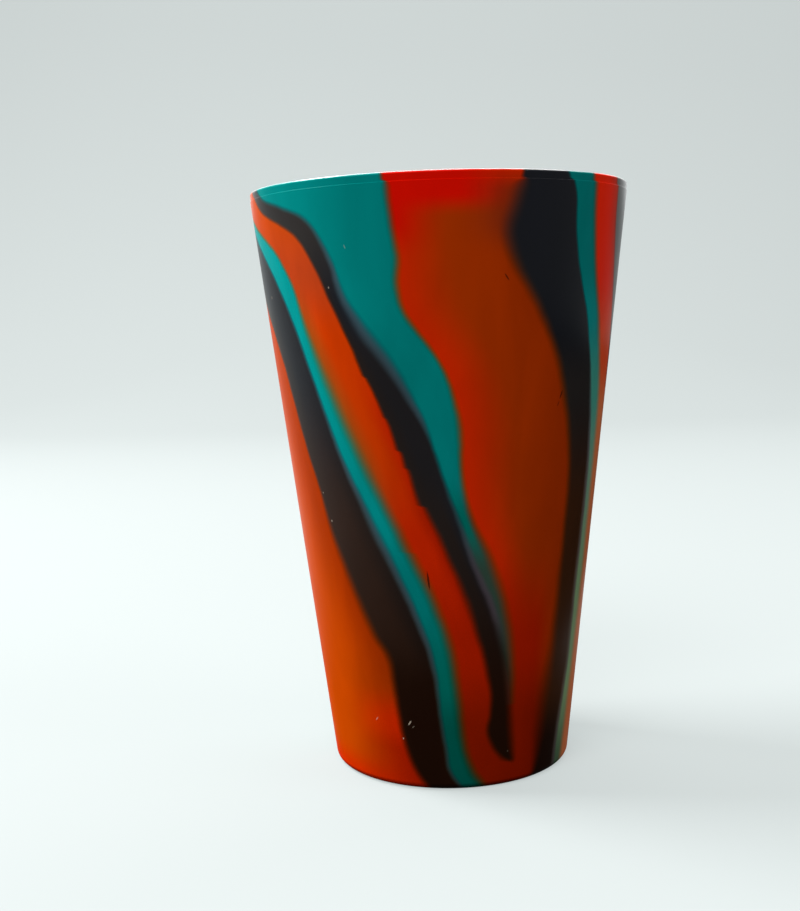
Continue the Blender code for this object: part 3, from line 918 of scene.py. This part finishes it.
def silicone_material(cup, name):
    """Compression-moulded silicone rubber: opaque, satin, slightly soft to the eye.

    The eye reads it by the colours running into each other, a broad low sheen instead of
    a sharp highlight, faint clouds where pigment is unevenly stirred, and a few specks of
    lint, which silicone always holds.
    """
    material = bpy.data.materials.new(name)
    material.use_nodes = True
    tree = material.node_tree
    tree.nodes.clear()
    output = node(tree, "OutputMaterial", (2200, 0))
    shader = node(tree, "BsdfPrincipled", (1900, 0))
    tree.links.new(shader.outputs["BSDF"], output.inputs["Surface"])
    place = node(tree, "TexCoord", (-1600, 0)).outputs["Object"]

    # Flow lines waver a little.  Noise with a scale of n / MM has lumps of about 1 / n mm.
    lumps = node(
        tree,
        "TexNoise",
        (-1300, -500),
        {"Vector": place, "Scale": 0.12 / MM, "Detail": 2.0, "Roughness": 0.55},
    ).outputs["Fac"]
    centred = node(tree, "Math", (-1100, -500), {0: lumps, 1: 0.5}, operation="SUBTRACT").outputs[0]
    waves = node(tree, "Math", (-940, -500), {0: centred, 1: 0.7}, operation="MULTIPLY").outputs[0]
    from_left = across_line(tree, "left", 1.0, waves, (-700, 0))
    into_right = across_line(tree, "right", -1.0, waves, (-700, -500))

    own = node(tree, "Attribute", (-100, 700), attribute_name="pigment").outputs["Vector"]
    beside_left = node(tree, "Attribute", (-100, 550), attribute_name="beside_left").outputs["Vector"]
    beside_right = node(tree, "Attribute", (-100, 400), attribute_name="beside_right").outputs["Vector"]
    # Each colour counts by how far its left line has been passed, less its right line.
    past_left = node(
        tree, "Mix", (100, 500), {"Factor": from_left, 4: beside_left, 5: own}, data_type="VECTOR"
    ).outputs[1]
    change = node(
        tree, "VectorMath", (100, 300), {0: beside_right, 1: own}, operation="SUBTRACT"
    ).outputs["Vector"]
    colour = node(
        tree,
        "VectorMath",
        (260, 500),
        {0: change, 1: into_right, 2: past_left},
        operation="MULTIPLY_ADD",
    ).outputs["Vector"]
    hazy_bond = {"teal_silicone": from_left, "black_silicone": into_right}.get(name)
    if hazy_bond:
        rest = node(tree, "Math", (-100, 100), {0: 1.0, 1: hazy_bond}, operation="SUBTRACT").outputs[0]
        peak = node(tree, "Math", (60, 100), {0: hazy_bond, 1: rest}, operation="MULTIPLY").outputs[0]
        strength = node(
            tree, "Math", (220, 100), {0: peak, 1: 4 * cup.haze}, operation="MULTIPLY"
        ).outputs[0]
        here = node(tree, "Attribute", (220, -50), attribute_name="haze").outputs["Fac"]
        share = node(tree, "Math", (380, 100), {0: strength, 1: here}, operation="MULTIPLY").outputs[0]
        slate = [part ** (1 / MIXING_ROOT) for part in cup.slate[:3]]
        colour = node(
            tree, "Mix", (400, 300), {"Factor": share, 4: colour, 5: slate}, data_type="VECTOR"
        ).outputs[1]
    colour = from_root(tree, colour, (420, 500))

    # Clouds of unevenly stirred pigment, drawn out up the cup as the strips flowed.
    stretch = {"Vector": place, "Scale": (1.0, 1.0, 0.3)}
    drawn = node(tree, "Mapping", (-1300, 500), stretch).outputs["Vector"]
    clouds = node(
        tree,
        "TexNoise",
        (-1100, 500),
        {"Vector": drawn, "Scale": 0.09 / MM, "Detail": 3.0, "Roughness": 0.55, "Distortion": 0.6},
    ).outputs["Fac"]
    shade = node(
        tree,
        "MapRange",
        (700, 600),
        {0: clouds, 1: 0.25, 2: 0.75, 3: 1 - cup.cloudiness, 4: 1 + cup.cloudiness},
        interpolation_type="SMOOTHSTEP",
    ).outputs["Result"]
    clouded = node(
        tree, "VectorMath", (1000, 400), {0: colour, 1: shade}, operation="MULTIPLY"
    ).outputs["Vector"]

    # Lint: short pale flecks, few and far between, each in its own cell.
    squash = {"Vector": place, "Rotation": (0.6, 0.5, 0.4), "Scale": (1.0, 1.0, 0.45)}
    squashed = node(tree, "Mapping", (-1300, -1000), squash)
    cells = node(
        tree,
        "TexVoronoi",
        (-1100, -1000),
        {"Vector": squashed.outputs["Vector"], "Scale": 0.13 / MM, "Randomness": 1.0},
        feature="F1",
    )
    near = node(
        tree,
        "MapRange",
        (-900, -1000),
        {0: cells.outputs["Distance"], 1: 0.012, 2: 0.026, 3: 1.0, 4: 0.0},
        interpolation_type="SMOOTHSTEP",
    ).outputs["Result"]
    picked = node(tree, "SeparateColor", (-900, -1200), {"Color": cells.outputs["Color"]})
    chosen = node(
        tree,
        "Math",
        (-700, -1200),
        {0: picked.outputs["Red"], 1: 1 - cup.lint_share},
        operation="GREATER_THAN",
    ).outputs[0]
    fleck = node(tree, "Math", (-500, -1100), {0: near, 1: chosen}, operation="MULTIPLY").outputs[0]
    # Dark marks: painted shade, for the shadow inside small nicks in the bond.
    nicks = marks(tree, cup, place, -1, (-1600, -1500))
    nick_shaded = node(
        tree,
        "Mix",
        (1150, 300),
        {"Factor": nicks, 6: clouded, 7: linear(NICK_SHADE_COLOUR)},
        data_type="RGBA",
    ).outputs[2]
    scattered = node(tree, "Math", (900, -200), {0: fleck, 1: 0.7}, operation="MULTIPLY").outputs[0]
    placed = marks(tree, cup, place, 1, (-1600, -2500))
    lint = node(tree, "Math", (1050, -200), {0: scattered, 1: placed}, operation="MAXIMUM").outputs[0]
    finished = node(
        tree, "Mix", (1300, 300), {"Factor": lint, 6: nick_shaded, 7: linear(LINT_COLOUR)}, data_type="RGBA"
    ).outputs[2]
    tree.links.new(finished, shader.inputs["Base Color"])

    # Satin in patches where hands have been, and polished along the crown of the lip.
    height = node(tree, "SeparateXYZ", (-1300, 200), {0: place}).outputs["Z"]
    low, high = cup.height - 0.4 * MM, cup.height - 0.2 * MM
    topmost = node(
        tree,
        "MapRange",
        (-1100, 200),
        {0: height, 1: low, 2: high, 3: 0.0, 4: 1.0},
        interpolation_type="SMOOTHSTEP",
    ).outputs["Result"]
    flattened = node(
        tree, "VectorMath", (-1300, 350), {0: place, 1: (1.0, 1.0, 0.0)}, operation="MULTIPLY"
    ).outputs["Vector"]
    reach = node(tree, "VectorMath", (-1200, 350), {0: flattened}, operation="LENGTH").outputs["Value"]
    edge = cup.rim_diameter / 2 - cup.lip_setback
    outermost = node(
        tree,
        "MapRange",
        (-1100, 350),
        {0: reach, 1: edge - 0.6 * MM, 2: edge - 0.45 * MM, 3: 0.0, 4: 1.0},
        interpolation_type="SMOOTHSTEP",
    ).outputs["Result"]
    on_crown = node(
        tree, "Math", (-950, 300), {0: topmost, 1: outermost}, operation="MULTIPLY"
    ).outputs[0]
    handled = node(
        tree,
        "TexNoise",
        (900, -500),
        {"Vector": place, "Scale": 0.035 / MM, "Detail": 2.0, "Roughness": 0.55},
    ).outputs["Fac"]
    satin = node(
        tree,
        "MapRange",
        (1100, -300),
        {0: handled, 1: 0.3, 2: 0.7, 3: cup.roughness - 0.02, 4: cup.roughness + 0.02},
        interpolation_type="SMOOTHSTEP",
    ).outputs["Result"]
    rough = node(
        tree,
        "Mix",
        (1300, -300),
        {"Factor": on_crown, 2: satin, 3: cup.crown_roughness},
        data_type="FLOAT",
    ).outputs[0]
    tree.links.new(rough, shader.inputs["Roughness"])
    shader.inputs["IOR"].default_value = SILICONE_IOR
    tree.links.new(on_crown, shader.inputs["Coat Weight"])
    shader.inputs["Coat Roughness"].default_value = cup.crown_roughness
    shader.inputs["Coat IOR"].default_value = CROWN_IOR

    # Black rubber shows its sheen more than the coloured; low on the wall it is worn dull.
    pale = node(tree, "RGBToBW", (1300, 100), {"Color": clouded}).outputs[0]
    sheen = node(
        tree,
        "MapRange",
        (1450, 100),
        {0: pale, 1: 0.004, 2: 0.05, 3: cup.black_sheen, 4: cup.colour_sheen},
        interpolation_type="SMOOTHSTEP",
    ).outputs["Result"]
    worn = node(
        tree,
        "MapRange",
        (-1100, 50),
        {0: height, 1: 16 * MM, 2: 72 * MM, 3: cup.foot_sheen, 4: 1.0},
        interpolation_type="SMOOTHSTEP",
    ).outputs["Result"]
    dulled = node(tree, "Math", (1550, 100), {0: sheen, 1: worn}, operation="MULTIPLY").outputs[0]
    level = node(
        tree, "Mix", (1650, 100), {"Factor": on_crown, 2: dulled, 3: cup.crown_sheen}, data_type="FLOAT"
    ).outputs[0]
    tree.links.new(level, shader.inputs["Specular IOR Level"])
    shader.inputs["Metallic"].default_value = 0.0

    # The mould's skin: a very fine pebble that softens the sheen.
    pebble = node(
        tree,
        "TexNoise",
        (900, -800),
        {"Vector": place, "Scale": 1.8 / MM, "Detail": 2.0, "Roughness": 0.55},
    ).outputs["Fac"]
    relief = {"Strength": 0.3, "Distance": 0.006 * MM, "Height": pebble}
    bump = node(tree, "Bump", (1600, -700), relief)
    tree.links.new(bump.outputs["Normal"], shader.inputs["Normal"])
    return material


def colour_property(label, text, hex_colour):
    """Property for one colour."""
    colour = linear(hex_colour)
    return FloatVectorProperty(
        name=label, description=text, subtype="COLOR", size=4, min=0, max=1, default=colour
    )


def length_property(label, text, millimetres):
    """Property for one length."""
    return FloatProperty(
        name=label, description=text, default=millimetres * MM, min=0, unit="LENGTH", precision=5
    )


def degrees_property(label, text, value):
    """Property for one angle in degrees."""
    return FloatProperty(name=label, description=text, default=value)


def share_property(label, text, value):
    """Property for one number from 0 to 1."""
    return FloatProperty(name=label, description=text, default=value, min=0, max=1)


def power_property(label, text, watts):
    """Property for one lamp's power."""
    return FloatProperty(name=label, description=text, default=watts, min=0, unit="POWER")


def rows_property(label, text, count):
    """Property for one number of mesh rows."""
    return IntProperty(name=label, description=text, default=count, min=2)


class CupSettings(bpy.types.PropertyGroup):
    """Sizes and colours of the cup."""

    height: FloatProperty(
        name="Height",
        description="Table to the top of the lip",
        default=CAD_HIGH[2] - CAD_LOW[2],
        unit="LENGTH",
        precision=5,
    )
    rim_diameter: length_property("Rim", "Diameter where the wall's outer line reaches the top", 91.0)
    foot_diameter: length_property("Foot", "Diameter where the wall's outer line reaches the table", 58.0)
    heel_radius: length_property("Heel radius", "Rounding between the wall and the underside", 2.0)
    wall_thickness: length_property("Wall", "Thickness of the wall", 4.0)
    floor_thickness: length_property("Floor", "Height of the floor inside", 6.0)
    inner_corner_radius: length_property("Inner corner", "Rounding between floor and wall inside", 9.0)
    lip_height: length_property("Lip height", "From the mould's parting line to the top", 2.1)
    lip_setback: length_property("Lip setback", "Ledge at the mould's parting line", 0.15)
    lip_rounding: length_property("Lip rounding", "Rounding of both edges of the lip", 0.5)
    lip_crown: length_property("Lip crown", "Rise of the top between its rounded edges", 0.15)
    drift_height: length_property("Drift height", "Height over which the streaks step at the lip", 0.4)
    parting_edge_radius: length_property("Parting edge", "Rounding of the wall at the parting line", 0.08)
    foot_ring_width: length_property("Foot ring", "Width of the ring that the cup stands on", 6.0)
    recess_depth: length_property("Recess", "Depth of the recess inside the foot ring", 1.2)
    recess_chamfer: length_property("Recess slope", "Width of the slope into the recess", 1.0)
    tongue_tip_height: length_property("Tongue tip", "Height at which the black tongue ends", 5.7)
    teal_tip_height: length_property("Teal tip", "Height at which the front teal panel ends", 20.0)
    floor_swirl: degrees_property("Floor swirl", "Degrees that streaks turn under the floor", 38.0)
    lip_drift: degrees_property("Lip drift", "Degrees that streaks step at the parting line", -1.0)
    column_angle: FloatProperty(
        name="Column", description="Degrees between columns of the mesh", default=1.0, min=0.2
    )
    floor_rows: rows_property("Floor rows", "Mesh rows across the recess", 20)
    wall_rows: rows_property("Wall rows", "Mesh rows up the wall", 240)
    lip_rows: rows_property("Lip rows", "Mesh rows round each edge of the lip", 10)
    roughness: share_property("Roughness", "Satin finish of the moulded skin", 0.3)
    cloudiness: share_property("Clouds", "Unevenness of the pigment", 0.08)
    haze: share_property("Haze", "Share of slate half way between black and teal", 0.5)
    black_sheen: share_property("Black sheen", "Specular level of the black", 0.1)
    colour_sheen: share_property("Colour sheen", "Specular level of the colours", 0.012)
    foot_sheen: share_property("Foot sheen", "Share of the sheen left low on the wall", 0.03)
    crown_sheen: share_property("Crown sheen", "Specular level of the lip's crown", 1.0)
    crown_roughness: share_property("Crown roughness", "Finish of the lip's crown", 0.3)
    lint_share: share_property("Lint", "Share of cells that hold a fleck", 0.16)


for pigment, (hex_colour, purpose) in PIGMENTS.items():
    CupSettings.__annotations__[pigment] = colour_property(
        pigment.replace("_", " ").capitalize(), purpose, hex_colour
    )


class StudioSettings(bpy.types.PropertyGroup):
    """Light, floor and backdrop."""

    floor_colour: colour_property("Floor", "Pale floor", "#DDE5E4")
    ambient: share_property("Ambient", "Light from all round", 0.14)
    key_power: power_property("Key", "High side light", 60.0)
    front_power: power_property("Front", "High front light", 28.0)
    right_power: power_property("Right", "High right light", 8.0)
    rim_power: power_property("Rim", "Each light behind the cup, left and right", 1.4)
    top_power: power_property("Top", "Long light above and behind", 16.0)


class CUP_OT_streaks(bpy.types.Operator):
    """Build the streaks of silicone that make up the cup"""

    bl_idname = "cup.streaks"
    bl_label = "Silicone streaks"

    def execute(self, context):
        cup = context.scene.cup_settings
        section = cup_section(cup)
        lines = flow_lines(cup, section)
        widths = blend_widths(section)
        cosines = slants(section, lines)
        edges = edge_colours(cup, section)
        materials = {name: silicone_material(cup, name) for name in SILICONE_NAMES}
        for index, (name, silicone, *_) in enumerate(STREAKS):
            data = streak_data(cup, section, lines, widths, cosines, edges, index)
            streak = streak_object(section, name + "_skin", data)
            streak.data.materials.append(materials[silicone])
            context.scene.collection.objects.link(streak)
            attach(streak, "root")
            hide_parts(name)
        return {"FINISHED"}


def area_light(context, name, place, aim_height, size, power, seen):
    """Soft lamp turned towards a point on the cup's axis."""
    lamp = bpy.data.lights.new(name, "AREA")
    lamp.shape = "RECTANGLE"
    lamp.size, lamp.size_y = size
    lamp.energy = power
    holder = bpy.data.objects.new(name, lamp)
    direction = Vector((0.0, 0.0, aim_height)) - Vector(place)
    turned = direction.to_track_quat("-Z", "Y").to_matrix().to_4x4()
    holder.matrix_world = Matrix.Translation(place) @ turned
    holder.visible_camera = seen
    context.scene.collection.objects.link(holder)


def floor_sheet(name, half_width, near, far, rise, bend, columns, rows):
    """Floor that curves up into a backdrop: flat from near to far, then a quarter circle
    of radius bend, then straight up by rise.  Length along the sheet is one parameter
    and the side position the other."""
    flat = np.linspace(near, far, rows)
    angle = np.linspace(0.0, math.pi / 2, rows)[1:]
    up = np.linspace(0.0, rise, rows)[1:]
    y = np.concatenate([flat, far + bend * np.sin(angle), np.full(len(up), far + bend)])
    z = np.concatenate([np.zeros(rows), bend * (1 - np.cos(angle)), bend + up])
    x = np.linspace(-half_width, half_width, columns)
    points = np.stack(np.broadcast_arrays(x[None, :], y[:, None], z[:, None]), axis=2)
    numbers = np.arange(len(y) * columns).reshape(len(y), columns)
    mesh = bpy.data.meshes.new(name)
    mesh.from_pydata(points.reshape(-1, 3).tolist(), [], grid_faces(numbers, flip=False).tolist())
    mesh.shade_smooth()
    return bpy.data.objects.new(name, mesh)


def seen_share(tree, place):
    """1 for the rays that see the background: the camera's, and those that a glossy or a
    clear surface sends on to it."""
    x, y = place
    rays = node(tree, "LightPath", (x, y)).outputs
    either = node(
        tree,
        "Math",
        (x + 200, y),
        {0: rays["Is Camera Ray"], 1: rays["Is Glossy Ray"]},
        operation="MAXIMUM",
    ).outputs[0]
    return node(
        tree, "Math", (x + 400, y), {0: either, 1: rays["Is Transmission Ray"]}, operation="MAXIMUM"
    ).outputs[0]


def floor_material(studio):
    """Matt paper sweep.  It is seen pale and even, with the cup's soft shadow; the light
    it throws back on the cup is kept low, as from a darker table."""
    material = bpy.data.materials.new("paper_sweep")
    material.use_nodes = True
    tree = material.node_tree
    tree.nodes.clear()
    output = node(tree, "OutputMaterial", (800, 0))
    pale = tuple(studio.floor_colour)
    lit = tuple(c * FLOOR_SEEN for c in pale[:3]) + (1.0,)
    glow = node(tree, "Emission", (-200, -150), {"Color": pale, "Strength": FLOOR_GLOW})
    paper = node(tree, "BsdfDiffuse", (-200, 0), {"Color": lit, "Roughness": 0.0})
    seen = node(tree, "AddShader", (0, 0), {0: paper.outputs[0], 1: glow.outputs[0]})
    bounce = (FLOOR_BOUNCE, FLOOR_BOUNCE, FLOOR_BOUNCE, 1.0)
    dim = node(tree, "BsdfDiffuse", (0, 200), {"Color": bounce, "Roughness": 0.0})
    share = seen_share(tree, (-600, 300))
    ways = {0: share, 1: dim.outputs[0], 2: seen.outputs[0]}
    either = node(tree, "MixShader", (400, 0), ways)
    tree.links.new(either.outputs[0], output.inputs["Surface"])
    return material


def flag_material():
    """Black felt, mirrored in the cup's right side, where the streaks show no sheen."""
    material = bpy.data.materials.new("black_felt")
    material.use_nodes = True
    shader = material.node_tree.nodes["Principled BSDF"]
    shader.inputs["Base Color"].default_value = linear("#0A0A0A")
    shader.inputs["Roughness"].default_value = 1.0
    shader.inputs["Specular IOR Level"].default_value = 0.0
    return material


def studio_world(studio):
    """Dim light from all round, seen pale."""
    world = bpy.data.worlds.new("studio_light")
    world.use_nodes = True
    tree = world.node_tree
    background = tree.nodes["Background"]
    background.inputs["Color"].default_value = (1, 1, 1, 1)
    links = {0: seen_share(tree, (-900, 0)), 1: BACKDROP - studio.ambient, 2: studio.ambient}
    level = node(tree, "Math", (-300, 0), links, operation="MULTIPLY_ADD").outputs[0]
    tree.links.new(level, background.inputs["Strength"])
    return world


class CUP_OT_studio(bpy.types.Operator):
    """Set up the floor, the lamps and the camera"""

    bl_idname = "cup.studio"
    bl_label = "Studio"

    def execute(self, context):
        scene = context.scene
        studio = scene.studio_settings
        floor = floor_sheet("paper_sweep", 3.0, -2.0, 0.9, 1.6, 0.5, 3, 24)
        floor.data.materials.append(floor_material(studio))
        scene.collection.objects.link(floor)

        for name, place, aim_height, size, power, seen in LAMPS:
            area_light(context, name, place, aim_height, size, getattr(studio, power), seen)

        flag = floor_sheet("dark_flag", FLAG_HALF_WIDTH, 0.0, 0.0001, FLAG_HEIGHT, 0.0001, 2, 2)
        flag.rotation_euler = (0, 0, math.radians(-90))
        flag.location = FLAG_PLACE
        flag.visible_camera = flag.visible_diffuse = flag.visible_shadow = False
        flag.data.materials.append(flag_material())
        scene.collection.objects.link(flag)
        scene.world = studio_world(studio)

        scene.view_settings.view_transform = "Standard"
        self.add_camera(scene)
        return {"FINISHED"}

    def add_camera(self, scene):
        """Camera where the photograph was taken: just above the lip, tipped down."""
        yaw, pitch, roll = (math.radians(turn) for turn in (CAMERA_YAW, CAMERA_PITCH, CAMERA_ROLL))
        flat = math.cos(pitch)
        forward = Vector((math.sin(yaw) * flat, math.cos(yaw) * flat, math.sin(pitch)))
        level = Vector((math.cos(yaw), -math.sin(yaw), 0.0))
        upright = level.cross(forward)
        right = math.cos(roll) * level + math.sin(roll) * upright
        up = math.cos(roll) * upright - math.sin(roll) * level
        lens = bpy.data.cameras.new("camera")
        lens.sensor_width = 36.0
        lens.lens = FOCAL_PIXELS * lens.sensor_width / max(IMAGE_WIDTH, IMAGE_HEIGHT)
        lens.clip_start = 0.01
        camera = bpy.data.objects.new("camera", lens)
        turned = Matrix((right, up, -forward)).transposed().to_4x4()
        camera.matrix_world = Matrix.Translation(CAMERA_PLACE) @ turned
        scene.collection.objects.link(camera)
        scene.camera = camera


class CUP_PT_panel(bpy.types.Panel):
    """Sidebar panel"""

    bl_label = "Silicone cup"
    bl_space_type = "VIEW_3D"
    bl_region_type = "UI"
    bl_category = "Cup"

    def draw(self, context):
        layout = self.layout
        for group in (context.scene.cup_settings, context.scene.studio_settings):
            column = layout.column(align=True)
            for key in group.bl_rna.properties.keys():
                if key not in {"rna_type", "name"}:
                    column.prop(group, key)
        layout.operator(CUP_OT_streaks.bl_idname)
        layout.operator(CUP_OT_studio.bl_idname)


CLASSES = (CupSettings, StudioSettings, CUP_OT_streaks, CUP_OT_studio, CUP_PT_panel)


def register():
    for cls in CLASSES:
        bpy.utils.register_class(cls)
    bpy.types.Scene.cup_settings = PointerProperty(type=CupSettings)
    bpy.types.Scene.studio_settings = PointerProperty(type=StudioSettings)


def unregister():
    del bpy.types.Scene.studio_settings
    del bpy.types.Scene.cup_settings
    for cls in reversed(CLASSES):
        bpy.utils.unregister_class(cls)


def main():
    register()
    bpy.ops.cup.streaks()
    bpy.ops.cup.studio()


if __name__ == "__main__":
    main()
